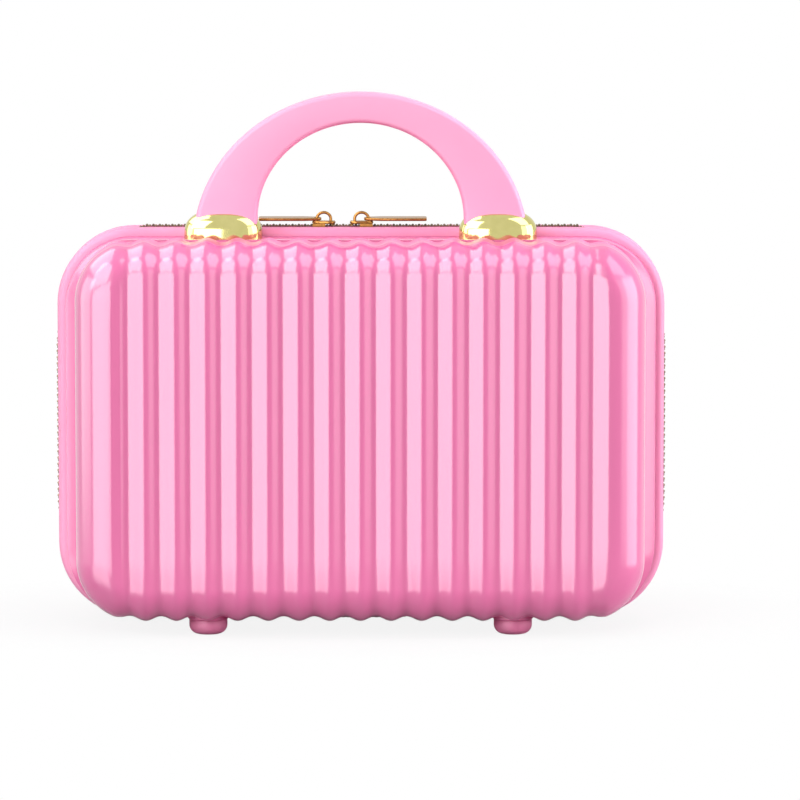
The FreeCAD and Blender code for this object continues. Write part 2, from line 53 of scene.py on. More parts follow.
BAND_TOP = MIDDLE + BAND_RISE
BAND_EDGE, SHOULDER_SLANT = 0.2, 3.0
RIM_DEPTH = 4.4
BAND_DRAFT, DRAFT_START = 1.5, 10.4
BODY_HALF, BODY_RISE, BODY_CORNER, BODY_CROWN = 137.2, 91.5, 29.5, 1.6
FACE_DEPTH, FACE_ROLL = 70.0, 17.0
SHEET = 1.6
RIB_PITCH, RIB_DEPTH, RIB_SINK = 14.8, 2.2, 0.1
LAST_FLANK, LAST_CREASE, CREASE_ROUND = 114.7, 118.6, 0.8


def whole(name, points, faces, smooth_under=40.0):
    """A piece from points in millimetres, facing outwards, smooth but for edges over an angle."""
    mesh = bpy.data.meshes.new(name)
    mesh.from_pydata([Vector(point) * 0.001 for point in points], [], faces)
    form = bmesh.new()
    form.from_mesh(mesh)
    bmesh.ops.recalc_face_normals(form, faces=form.faces)
    form.to_mesh(mesh)
    form.free()
    mesh.shade_smooth()
    mesh.set_sharp_from_angle(angle=math.radians(smooth_under))
    piece = bpy.data.objects.new(name, mesh)
    bpy.context.scene.collection.objects.link(piece)
    return piece


def span(low, high, steps):
    return [low + (high - low) * step / steps for step in range(steps + 1)]


def skin_faces(rows, across, wrap_rows=False, wrap_across=True, start=0):
    """Quads between rows of points that follow each other."""
    faces = []
    for row in range(rows if wrap_rows else rows - 1):
        for step in range(across if wrap_across else across - 1):
            a, b = start + row * across, start + (row + 1) % rows * across
            after = (step + 1) % across
            faces.append((a + step, a + after, b + after, b + step))
    return faces


def end_faces(rows, across, start=0):
    """The two faces that close the first and the last row."""
    last = start + (rows - 1) * across
    return [tuple(range(start, start + across)), tuple(range(last, last + across))]


def tray(columns, turns, rows, half, rise, corner, depth, roll, roll_steps, run, carve, rings=()):
    """Points and faces of an open tray, seen from outside: its floor, rolled edge and walls.

    carve(x) sinks a point along its normal. run lists the depths of the wall, and rings adds
    functions from a place on the way round to a point."""
    core_x, core_z, floor_corner = half - corner, rise - corner, corner - roll
    top = [(-1, -math.cos(turn), math.sin(turn)) for turn in span(0, math.pi / 2, turns)[:-1]]
    top += [(share, 0, 1) for share in span(-1, 1, columns)]
    top += [(1, math.sin(turn), math.cos(turn)) for turn in span(0, math.pi / 2, turns)[1:]]
    points = []

    def place(fx, fz, nx, nz, out, deep, sunk_out, sunk_deep):
        x = fx * core_x + out * nx
        sink = carve(x)
        points.append((x - sink * sunk_out * nx, deep - sink * sunk_deep,
                       fz * core_z + (out - sink * sunk_out) * nz))

    for fx, nx, nz in top:
        for share in span(-1, 1, rows):
            x, reach = fx * core_x + floor_corner * nx, core_z + floor_corner * nz
            points.append((x, depth - carve(x), share * reach))
    count = rows + 1
    faces = skin_faces(len(top), count, wrap_across=False)
    loop = [(i * count + rows, (fx, 1, nx, nz)) for i, (fx, nx, nz) in enumerate(top)]
    last = (len(top) - 1) * count
    loop += [(last + j, (1, 2 * j / rows - 1, 1, 0)) for j in range(rows - 1, 0, -1)]
    loop += [(i * count, (top[i][0], -1, top[i][1], -top[i][2])) for i in range(len(top) - 1, -1, -1)]
    loop += [(j, (-1, 2 * j / rows - 1, -1, 0)) for j in range(1, rows)]
    around = [spot for _, spot in loop]
    start = len(points)
    levels = [math.pi / 2 * step / roll_steps for step in range(1, roll_steps + 1)]
    for turn in levels:
        out, deep = floor_corner + roll * math.sin(turn), depth - roll * (1 - math.cos(turn))
        for spot in around:
            place(*spot, out, deep, math.sin(turn), math.cos(turn))
    for deep in run:
        for spot in around:
            place(*spot, corner, deep, 1, 0)
    for ring in rings:
        points += [ring(*spot) for spot in around]
    size = len(around)
    for step in range(size):
        after = (step + 1) % size
        faces.append((loop[step][0], loop[after][0], start + after, start + step))
    faces += skin_faces((len(points) - start) // size, size, start=start)
    return points, faces


def round_band(fx, fz, nx, nz, offset, depth):
    """Point that lies offset outside the band, at a place on the way round it."""
    draft = BAND_DRAFT * nx * nx * max(0.0, depth - DRAFT_START) / (BAND_DEPTH - DRAFT_START)
    reach = BAND_CORNER + offset - draft
    return (fx * (BAND_HALF - BAND_CORNER) + reach * nx, depth,
            fz * (BAND_RISE - BAND_CORNER) + reach * nz)


def rib_sink(x):
    x = abs(x)
    slope = (RIB_SINK + RIB_DEPTH / 2) / (LAST_CREASE - LAST_FLANK)
    if x > LAST_CREASE + CREASE_ROUND:
        return 0.0
    if x > LAST_CREASE - CREASE_ROUND:
        return slope * (LAST_CREASE + CREASE_ROUND - x) ** 2 / (4 * CREASE_ROUND)
    if x > LAST_FLANK:
        return slope * (LAST_CREASE - x)
    return RIB_SINK + RIB_DEPTH / 2 * (1 - math.cos(2 * math.pi * x / RIB_PITCH))


class Tone:
    """A value in a finish. Arithmetic on it adds the Math nodes."""

    def __init__(self, finish, socket):
        self.finish = finish
        self.socket = socket

    def math(self, operation, first, second=0.0):
        return self.finish.node("Math", {"operation": operation}, {0: first, 1: second})

    def __add__(self, other):
        return self.math("ADD", self, other)

    def __radd__(self, other):
        return self.math("ADD", other, self)

    def __sub__(self, other):
        return self.math("SUBTRACT", self, other)

    def __rsub__(self, other):
        return self.math("SUBTRACT", other, self)

    def __mul__(self, other):
        return self.math("MULTIPLY", self, other)

    def __rmul__(self, other):
        return self.math("MULTIPLY", other, self)

    def __pow__(self, other):
        return self.math("POWER", self, other)


class Finish:
    """A material named for its finish. Plain keywords set the shader's own sockets."""

    def __init__(self, name, **constants):
        self.material = bpy.data.materials.new(name)
        self.material.use_nodes = True
        self.tree = self.material.node_tree
        self.shader = self.tree.nodes["Principled BSDF"]
        for words, value in constants.items():
            self.shader.inputs[words.replace("_", " ")].default_value = value

    def node(self, kind, settings=None, sockets=None, output=0):
        made = self.tree.nodes.new("ShaderNode" + kind)
        for name, value in (settings or {}).items():
            if name == "stops":
                ramp = made.color_ramp.elements
                while len(ramp) < len(value):
                    ramp.new(1.0)
                for stop, (place, grey) in zip(ramp, value):
                    stop.position, stop.color = place, (grey, grey, grey, 1)
            else:
                setattr(made, name, value)
        for name, value in (sockets or {}).items():
            if isinstance(value, Tone):
                self.tree.links.new(value.socket, made.inputs[name])
            else:
                made.inputs[name].default_value = value
        return Tone(self, made.outputs[output]) if len(made.outputs) else None

    def spot(self):
        """Where a point lies on the case, in metres."""
        return self.node("TexCoord", output=3)

    def along(self, axis):
        return self.node("SeparateXYZ", sockets={0: self.spot()}, output="XYZ".index(axis))

    def cloud(self, scale, detail=2.0, vector=None):
        """Soft noise; scale is in features to the metre."""
        return self.node("TexNoise", sockets={"Vector": vector or self.spot(), "Scale": scale, "Detail": detail})

    def blend(self, share, first, second):
        return self.node("Mix", {"data_type": "RGBA"}, {0: share, 6: first, 7: second}, output=2)

    def wear(self, **links):
        for words, tone in links.items():
            self.tree.links.new(tone.socket, self.shader.inputs[words.replace("_", " ")])
        return self

    def bump(self, height, depth, strength=1.0):
        """Relief on the surface; depth is in millimetres."""
        return self.wear(Normal=self.node("Bump", sockets={"Height": height, "Distance": depth * 0.001,
                                                           "Strength": strength}))

    def on(self, *pieces):
        for piece in pieces:
            piece.data.materials.clear()
            piece.data.materials.append(self.material)


PINK = (0.75, 0.13, 0.345, 1)
PINK_DEEP = (0.71, 0.115, 0.32, 1)
# Colour of the painted shade in the crease at the foot of the piping and in the step where the ribs meet the band.
PAINTED_SHADE_PINK = (0.20, 0.02, 0.07, 1)
gloss_pink = Finish("gloss_pink_sheet", IOR=1.55, Coat_Roughness=0.15, Coat_IOR=1.6)
mottle = gloss_pink.cloud(22, 3)
rub = gloss_pink.cloud(420, 4)
crest = gloss_pink.node("Math", {"operation": "COSINE"},
                        {0: gloss_pink.along("X") * (2 * math.pi / (RIB_PITCH * 0.001))})
inwards = gloss_pink.node("Math", {"operation": "ABSOLUTE"},
                          {0: gloss_pink.along("Y")}) * (1 / (FACE_DEPTH * 0.001))
WALL_STOPS = ((0.40, 1.0), (0.435, 0.0), (0.4885, 0.0), (0.50, 1.0), (0.75, 1.0), (0.84, 0.0))
# Painted shade: the base colour darkens to a deep pink in the crease at the foot of the piping and in the step where
# the ribs meet the band.
PAINTED_SHADE_STOPS = ((0.14, 0.9), (0.19, 0.0), (0.4864, 0.0), (0.488, 0.7), (0.53, 0.0))
wall = gloss_pink.node("ValToRGB", {"stops": WALL_STOPS}, {0: inwards})
painted_shade = gloss_pink.node("ValToRGB", {"stops": PAINTED_SHADE_STOPS}, {0: inwards})
# The base colour mixes in the painted shade along those two creases.
gloss_pink.wear(Base_Color=gloss_pink.blend(painted_shade, gloss_pink.blend(mottle, PINK_DEEP, PINK), PAINTED_SHADE_PINK),
                Roughness=0.2 + rub * 0.06 + crest * 0.012 + wall * 0.25, Coat_Weight=1 - wall * 0.85)
gloss_pink.bump(gloss_pink.cloud(260, 2), 0.02, 0.35)

ribbed = tray(columns=232, turns=44, rows=10, half=BODY_HALF, rise=BODY_RISE, corner=BODY_CORNER,
              depth=FACE_DEPTH, roll=FACE_ROLL, roll_steps=10, run=span(FACE_DEPTH - FACE_ROLL, BAND_DEPTH, 4)[1:],
              carve=rib_sink,
              rings=[lambda *spot, o=offset, d=depth, s=slant: round_band(*spot, o, d - s * spot[2] ** 2)
                     for offset, depth, slant in ((-BAND_EDGE, BAND_DEPTH, SHOULDER_SLANT),
                                                  (-0.3 * BAND_EDGE, BAND_DEPTH - 0.3 * BAND_EDGE, SHOULDER_SLANT),
                                                  (0, BAND_DEPTH - BAND_EDGE, SHOULDER_SLANT),
                                                  (0, 22.0, 0), (0, DRAFT_START, 0), (0, RIM_DEPTH, 0))])
crowned = [(x, deep, z + (BODY_CROWN * (0.5 + 0.5 * z / BODY_RISE) if deep > BAND_DEPTH else 0))
           for x, deep, z in ribbed[0]]
for half_name, side in HALVES:
    shell = whole(f"{half_name}_ribbed_shell", [(x, side * deep, MIDDLE + z) for x, deep, z in crowned],
                  ribbed[1], smooth_under=24)
    walls = shell.modifiers.new("sheet", "SOLIDIFY")
    walls.thickness = SHEET * 0.001
    walls.offset = -1
    gloss_pink.on(shell)
    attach(shell, f"{half_name}_half")
    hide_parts(f"{half_name}_shell")

# Piping: a soft vinyl bead along each rim, extruded in one length and pressed on round the band.
# Its flat foot lies on the band and its crown is round, so it hides the edge of the zip tape.
PIPING_NEAR, PIPING_WIDTH, PIPING_PROUD = 4.4, 6.0, 4.3


def way_round(top_steps, turns, side_steps):
    """Places round the case: a spot on the core rectangle and the way outwards."""
    spots = []
    for quarter, (fx, fz) in enumerate(((1, 1), (1, -1), (-1, -1), (-1, 1))):
        for turn in span(0, math.pi / 2, turns):
            angle = math.pi / 2 - quarter * math.pi / 2 - turn
            spots.append((fx, fz, math.cos(angle), math.sin(angle)))
        steps = side_steps if quarter % 2 == 0 else top_steps
        nx, nz = spots[-1][2], spots[-1][3]
        for share in span(1, -1, steps)[1:-1]:
            spots.append((fx, fz * share, nx, nz) if quarter % 2 == 0 else (fx * share, fz, nx, nz))
    return spots


def band_sweep(name, side, profile, spots, dip=lambda spot, offset: 0.0):
    """A closed ring round the band with a closed profile of (depth, offset) pairs."""
    points = []
    for depth, offset in profile:
        for spot in spots:
            x, y, z = round_band(*spot, offset - dip(spot, offset), depth)
            points.append((x, side * y, MIDDLE + z))
    return whole(name, points, skin_faces(len(profile), len(spots), wrap_rows=True), smooth_under=50)


bead = [(PIPING_NEAR + PIPING_WIDTH / 2 * (1 - math.cos(turn)), PIPING_PROUD * math.sin(turn) ** 0.72)
        for turn in span(0, math.pi, 22)]
soft_vinyl = Finish("soft_pink_vinyl", IOR=1.48, Coat_Weight=0.1, Coat_Roughness=0.2)
vinyl_mottle = soft_vinyl.cloud(60, 3)
soft_vinyl.wear(Base_Color=soft_vinyl.blend(vinyl_mottle, (0.83, 0.285, 0.485, 1), (0.88, 0.325, 0.525, 1)),
                Roughness=0.36 + soft_vinyl.cloud(700, 3) * 0.12)
soft_vinyl.bump(soft_vinyl.cloud(1800, 3), 0.03, 0.5)
for half_name, side in HALVES:
    piping = band_sweep(f"{half_name}_piping_bead", side, bead, way_round(60, 16, 30))
    soft_vinyl.on(piping)
    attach(piping, f"{half_name}_half")
    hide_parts(f"{half_name}_piping")

# Zip tape: woven polyester that climbs from the foot of the piping to the teeth.
# A round cord is woven into its edge, and the teeth are clamped over that cord.
CHAIN_NEAR, CHAIN_FAR, CHAIN_TOP, CHAIN_BOTTOM = 0.33, 2.6, 5.25, 2.85
CHAIN_MIDDLE = (CHAIN_TOP + CHAIN_BOTTOM) / 2
CORNER_DIP, TOP_DIP_RUN, SIDE_DIP_RUN = 1.9, 6.0, 22.0


def corner_dip(spot, offset=CHAIN_MIDDLE):
    """How far the stretched zip lies lower in the corners than along the straight sides."""
    fx, fz, nx, nz = spot
    share = 1.0
    if abs(nx) < 1e-6:
        share = max(0.0, 1 - (1 - abs(fx)) * (BAND_HALF - BAND_CORNER) / TOP_DIP_RUN)
    elif abs(nz) < 1e-6:
        share = max(0.0, 1 - (1 - abs(fz)) * (BAND_RISE - BAND_CORNER) / SIDE_DIP_RUN)
    return CORNER_DIP * share * share * (3 - 2 * share) * min(1.0, offset / CHAIN_MIDDLE)


woven_tape = Finish("woven_zip_tape", Roughness=0.85, Sheen_Weight=0.3)
strand = woven_tape.node("TexWave", {"bands_direction": "DIAGONAL"},
                         {"Vector": woven_tape.spot(), "Scale": 520.0, "Distortion": 1.2})
woven_tape.wear(Base_Color=woven_tape.blend(strand, (0.20, 0.035, 0.075, 1), (0.36, 0.075, 0.15, 1)))
woven_tape.bump(strand, 0.12, 0.8)
ramp = [(CHAIN_FAR, CHAIN_MIDDLE + 0.35), (PIPING_NEAR - 0.45, 1.25), (PIPING_NEAR, 0.72), (PIPING_NEAR, 0.0),
        (PIPING_NEAR - 0.5, 0.55), (CHAIN_FAR, CHAIN_MIDDLE - 0.35), (CHAIN_FAR - 0.9, CHAIN_MIDDLE - 0.3),
        (CHAIN_FAR - 1.2, CHAIN_MIDDLE), (CHAIN_FAR - 0.9, CHAIN_MIDDLE + 0.3)]
for half_name, side in HALVES:
    tape = band_sweep(f"{half_name}_woven_tape", side, ramp, way_round(60, 14, 30), corner_dip)
    woven_tape.on(tape)
    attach(tape, f"{half_name}_half")
    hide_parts(f"{half_name}_zipper_tape")

# Zip teeth: stamped brass with an antique finish, each clamped over the tape's corded edge.
# The two rows stand half a pitch apart, so that they read as one fine chain when closed.
TOOTH_PITCH, TOOTH_WIDTH = 3.1, 1.5
HINGE_HALF = 19.2
antique = Finish("antique_brass", Metallic=1.0)
tarnish = antique.cloud(900, 3)
antique.wear(Base_Color=antique.blend(tarnish, (0.05, 0.035, 0.025, 1), (0.30, 0.21, 0.13, 1)),
             Roughness=0.28 + tarnish * 0.25)
antique.bump(antique.cloud(2600, 2), 0.03, 0.4)


def along_chain(step):
    """Place on the way round, at each given distance along the zip from the bottom middle."""
    straight_x, straight_z = BAND_HALF - BAND_CORNER, BAND_RISE - BAND_CORNER
    arc = math.pi / 2 * (BAND_CORNER + CHAIN_MIDDLE)
    runs = [(straight_x, 0), (arc, 1), (2 * straight_z, 2), (arc, 3), (2 * straight_x, 4), (arc, 5),
            (2 * straight_z, 6), (arc, 7), (straight_x, 8)]
    for length, run in runs:
        if step <= length:
            break
        step -= length
    share = step / length
    if run in (0, 8):
        return ((share if run == 0 else share - 1), -1, 0, -1)
    if run == 4:
        return (1 - 2 * share, 1, 0, 1)
    if run in (2, 6):
        across = 1 if run == 2 else -1
        return (across, (2 * share - 1) * across, across, 0)
    angle = -math.pi / 2 + (run - 1) / 2 * math.pi / 2 + share * math.pi / 2
    return (1 if run in (1, 3) else -1, -1 if run in (1, 7) else 1, math.cos(angle), math.sin(angle))


CHAIN_LENGTH = 4 * (BAND_HALF + BAND_RISE - 2 * BAND_CORNER) + 2 * math.pi * (BAND_CORNER + CHAIN_MIDDLE)
SECTIONS = ((CHAIN_FAR + 0.05, 0.36, 0.55), (CHAIN_FAR - 0.3, 0.5, 1.0), (1.25, 0.5, 0.95), (0.75, 0.34, 0.72),
            (CHAIN_NEAR, 0.3, 0.5))
for half_name, side in HALVES:
    points, faces = [], []
    first = HINGE_HALF + 3.6 + (0 if side < 0 else TOOTH_PITCH / 2)
    for tooth in range(int((CHAIN_LENGTH - 2 * first) / TOOTH_PITCH) + 1):
        fx, fz, nx, nz = along_chain(first + tooth * TOOTH_PITCH)
        tx, tz = -nz, nx
        middle = CHAIN_MIDDLE - corner_dip((fx, fz, nx, nz))
        start = len(points)
        for deep, wide, tall in SECTIONS:
            half_wide, half_tall = wide * TOOTH_WIDTH, tall * (CHAIN_TOP - CHAIN_MIDDLE)
            for corner in range(8):
                turn = math.pi / 8 + corner * math.pi / 4
                a = max(-1, min(1, 1.25 * math.cos(turn))) * half_wide
                b = max(-1, min(1, 1.25 * math.sin(turn))) * half_tall
                x, y, z = round_band(fx, fz, nx, nz, middle + b, deep)
                points.append((x + a * tx, side * y, MIDDLE + z + a * tz))
        faces += skin_faces(len(SECTIONS), 8, start=start)
        faces += end_faces(len(SECTIONS), 8, start)
    teeth = whole(f"{half_name}_teeth", points, faces, smooth_under=35)
    antique.on(teeth)
    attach(teeth, f"{half_name}_half")
    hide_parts(f"{half_name}_zipper_chain")

# End stops: small brass clips crimped over the last tooth of each row, beside the hinge strip.
# They stay as the solids have them, with softened edges and the antique finish of the teeth.
for half_name, side in HALVES:
    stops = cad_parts[f"{half_name}_end_stops"]
    soften = stops.modifiers.new("crimp", "BEVEL")
    soften.width, soften.segments = 0.0004, 3
    antique.on(stops)

# Hinge strip: a short doubled strip of tape cloth under the case, sewn to both tapes.
# It bows out between the rows of teeth.
HINGE_EDGE, HINGE_FOOT, HINGE_THICK, HINGE_BULGE = 4.2, 1.1, 0.8, 0.8
strip_points = []
hinge_rows = span(-HINGE_HALF + 0.2, HINGE_HALF - 0.2, 30)
hinge_across = span(-1, 1, 16)
for lift in (HINGE_THICK, 0.0):
    for x in hinge_rows:
        for share in hinge_across:
            y = share * HINGE_EDGE
            climb = min(1, (HINGE_EDGE - abs(y)) / (HINGE_EDGE - CHAIN_FAR))
            ramp_off = HINGE_FOOT + (CHAIN_MIDDLE + 0.35 - HINGE_FOOT) * climb
            bow = HINGE_BULGE * max(0, 1 - abs(y) / CHAIN_FAR) if lift else 0
            stitch = 0.12 * math.sin(x * 3.1) * (1 - abs(share)) if lift else 0
            strip_points.append((x, y, BAND_TOP - 2 * BAND_RISE - ramp_off - lift - bow + stitch))
count = len(hinge_across)
layer = len(hinge_rows) * count
strip_faces = skin_faces(len(hinge_rows), count, wrap_across=False)
strip_faces += skin_faces(len(hinge_rows), count, wrap_across=False, start=layer)
rim_loop = [k for k in range(count)] + [(r + 1) * count - 1 for r in range(1, len(hinge_rows))]
rim_loop += [layer - 1 - k for k in range(1, count)] + [r * count for r in range(len(hinge_rows) - 2, 0, -1)]
strip_faces += [(a, b, b + layer, a + layer) for a, b in zip(rim_loop, rim_loop[1:] + rim_loop[:1])]
hinge = whole("hinge_cloth", strip_points, strip_faces, smooth_under=60)
woven_tape.on(hinge)
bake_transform(hinge)
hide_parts("hinge_strip")

# Handle: one arch of pink ABS, moulded solid with rounded edges, wider at its feet than at its crown.
# Its face is satin from the mould, and its legs stand in the metal caps.
HANDLE_Y, HANDLE_THICK, HANDLE_ROUND = -22.75, 15.0, 2.4
OUTER = (81.2, 73.9, BAND_TOP - 2.9)
INNER = (50.0, 46.9, BAND_TOP + 9.3)
LEG_FOOT = BAND_TOP + 2.0
HANDLE_STEPS, EDGE_STEPS = 120, 6


def arch_point(half, rise, centre, share):
    """Point on an arch whose legs go straight down to the foot; share runs from 0 to 1 along it."""
    leg = max(0.0, centre - LEG_FOOT)
    low = math.asin(max(0.0, (LEG_FOOT - centre) / rise))
    curve = (math.pi - 2 * low) * (half + rise) / 2
    run = share * (curve + 2 * leg)
    if run < leg:
        return -half, LEG_FOOT + run
    if run > leg + curve:
        return half, LEG_FOOT + curve + 2 * leg - run
    angle = low + (math.pi - 2 * low) * (run - leg) / curve
    return -half * math.cos(angle), centre + rise * math.sin(angle)


points = []
for share in span(0, 1, HANDLE_STEPS):
    (ox, oz), (ix, iz) = arch_point(*OUTER, share), arch_point(*INNER, share)
    wide = math.hypot(ox - ix, oz - iz)
    ux, uz = (ox - ix) / wide, (oz - iz) / wide
    for quarter, (sw, sy) in enumerate(((1, 1), (-1, 1), (-1, -1), (1, -1))):
        for turn in span(0, math.pi / 2, EDGE_STEPS):
            angle = quarter * math.pi / 2 + turn
            across = wide / 2 + sw * (wide / 2 - HANDLE_ROUND) + HANDLE_ROUND * math.cos(angle)
            deep = sy * (HANDLE_THICK / 2 - HANDLE_ROUND) + HANDLE_ROUND * math.sin(angle)
            points.append((ix + ux * across, HANDLE_Y + deep, iz + uz * across))
ring = 4 * (EDGE_STEPS + 1)
faces = skin_faces(HANDLE_STEPS + 1, ring)
faces += end_faces(HANDLE_STEPS + 1, ring)
grip = whole("handle_arch", points, faces, smooth_under=35)
satin_pink = Finish("satin_pink_moulding", IOR=1.5, Coat_Weight=0.15, Coat_Roughness=0.25)
grip_mottle = satin_pink.cloud(35, 3)
satin_pink.wear(Base_Color=satin_pink.blend(grip_mottle, (0.89, 0.33, 0.53, 1), (0.93, 0.37, 0.57, 1)),
                Roughness=0.34 + satin_pink.cloud(900, 3) * 0.1)
satin_pink.bump(satin_pink.cloud(2200, 3), 0.02, 0.4)
satin_pink.on(grip)
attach(grip, "front_half")
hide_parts("handle_grip")

# Handle caps: domed shells of plated metal over the handle's feet, polished like a mirror.
# They are screwed through the band from inside, so no fixing shows.
LEG_X = (OUTER[0] + INNER[0]) / 2
CAP_LENGTH, CAP_DEPTH, CAP_HEIGHT, CAP_PLAN = 38.0, 22.5, 14.6, 2.7
CAP_X, CAP_WALL = LEG_X + 1.0, 1.2
gold_plate = Finish("polished_gold_plate", Metallic=1.0)
haze = gold_plate.cloud(260, 4)
gold_plate.wear(Base_Color=gold_plate.blend(haze, (0.58, 0.53, 0.20, 1), (0.68, 0.62, 0.26, 1)),
                Roughness=0.05 + haze * 0.07)
gold_plate.bump(gold_plate.cloud(1500, 2), 0.01, 0.3)
caps_points, caps_faces = [], []
for cap_side in (-1, 1):
    levels = [(1.0, 0.0), (1.0, CAP_WALL / 2), (1.0, CAP_WALL)]
    for turn in [math.pi / 2 * share ** 1.6 for share in span(0, 1, 24)[1:]]:
        levels.append((max(0.04, math.cos(turn)), CAP_WALL + (CAP_HEIGHT - CAP_WALL) * math.sin(turn) ** 0.67))
    start, size = len(caps_points), 72
    for share, level in levels:
        for turn in span(0, 2 * math.pi, size)[:-1]:
            x = CAP_LENGTH / 2 * math.copysign(abs(math.cos(turn)) ** (2 / CAP_PLAN), math.cos(turn))
            y = CAP_DEPTH / 2 * math.copysign(abs(math.sin(turn)) ** (2 / CAP_PLAN), math.sin(turn))
            caps_points.append((cap_side * CAP_X + share * x, HANDLE_Y + share * y, BAND_TOP + level))
    caps_faces += skin_faces(len(levels), size, start=start)
    caps_faces += end_faces(len(levels), size, start)
caps = whole("handle_domes", caps_points, caps_faces, smooth_under=40)
gold_plate.on(caps)
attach(caps, "front_half")
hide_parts("handle_caps")

# Sliders: die-cast zip sliders with a worn brass plate and a bent bail on top.
# The wide end, where the rows part, faces the other slider.
SLIDERS = (("left", -18.2, 1), ("right", 0.3, -1))
SLIDER_LENGTH, SLIDER_BROAD, SLIDER_TOP, SLIDER_BASE = 11.5, 4.1, 1.5, 1.2
SLIDER_UNDER = BAND_TOP + CHAIN_TOP + 0.2
BASE_TOP = SLIDER_UNDER - 0.2 - 2.4 - 0.35
BAIL_CENTRE, BAIL_RADIUS, BAIL_WIRE, BAIL_FLAT = SLIDER_UNDER + SLIDER_TOP + 0.95, 3.4, 0.72, 0.9
brass = Finish("worn_brass_plate", Metallic=1.0)
handled = brass.cloud(500, 4)
brass.wear(Base_Color=brass.blend(handled, (0.25, 0.12, 0.03, 1), (0.46, 0.25, 0.07, 1)),
           Roughness=0.16 + handled * 0.16)
brass.bump(brass.cloud(1800, 2), 0.01, 0.3)
for slider_name, slider_x, head in SLIDERS:
    points, faces = [], []

    def slab(outline, low, high, edge):
        """A plate with softened edges from an outline of (along, across) pairs."""
        start, size = len(points), len(outline)
        for inset, level in ((edge, low), (0, low + edge), (0, high - edge), (edge, high)):
            for along, across in outline:
                reach = math.hypot(along, across)
                shrink = (reach - inset) / reach
                points.append((slider_x + head * along * shrink, across * shrink, level))
        faces.extend(skin_faces(4, size, start=start))
        faces.extend(end_faces(4, size, start))

    half = SLIDER_LENGTH / 2
    shield = []
    for turn in span(0, 2 * math.pi, 40)[:-1]:
        along = half * math.copysign(abs(math.cos(turn)) ** 0.55, math.cos(turn))
        broad = SLIDER_BROAD * (0.86 + 0.14 * along / half) if along < 0 else SLIDER_BROAD
        shield.append((along, broad * math.copysign(abs(math.sin(turn)) ** 0.6, math.sin(turn))))
    slab(shield, SLIDER_UNDER, SLIDER_UNDER + SLIDER_TOP, 0.45)
    slab([(along, across * 0.7) for along, across in shield], BASE_TOP - SLIDER_BASE, BASE_TOP, 0.3)
    for wall in (-1, 1):
        start = len(points)
        for along in (-half + 0.3, -half + 6.5):
            for across, level in ((3.3, -1.55), (4.05, -1.55), (4.05, 0.3), (3.3, 0.3)):
                points.append((slider_x + head * along, wall * across, SLIDER_UNDER + level))
        faces.extend(skin_faces(2, 4, start=start))
        faces.extend(end_faces(2, 4, start))
    start = len(points)
    for along in (half - 1.9, half - 0.3):
        for across, level in ((-0.3, -3.2), (0.3, -3.2), (0.3, 0.2), (-0.3, 0.2)):
            points.append((slider_x + head * along, across, SLIDER_UNDER + level))
    faces.extend(skin_faces(2, 4, start=start))
    faces.extend(end_faces(2, 4, start))
    start = len(points)
    path = [(-BAIL_RADIUS, SLIDER_UNDER + SLIDER_TOP - 0.6, -1, 0)]
    path += [(-BAIL_RADIUS * math.cos(turn), BAIL_CENTRE + BAIL_FLAT * BAIL_RADIUS * math.sin(turn),
              -math.cos(turn), math.sin(turn)) for turn in span(0, math.pi, 24)]
    path += [(BAIL_RADIUS, SLIDER_UNDER + SLIDER_TOP - 0.6, 1, 0)]
    for along, level, out_x, out_z in path:
        for turn in span(0, 2 * math.pi, 12)[:-1]:
            out, across = BAIL_WIRE * math.cos(turn), BAIL_WIRE * math.sin(turn)
            points.append((slider_x + along + out * out_x, across, level + out * out_z))
    faces.extend(skin_faces(len(path), 12, start=start))
    faces.extend(end_faces(len(path), 12, start))
    slider = whole(f"zip_slider_{slider_name}", points, faces, smooth_under=40)
    brass.on(slider)
    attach(slider, f"slider_{slider_name}")
    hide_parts(f"slider_{slider_name}")

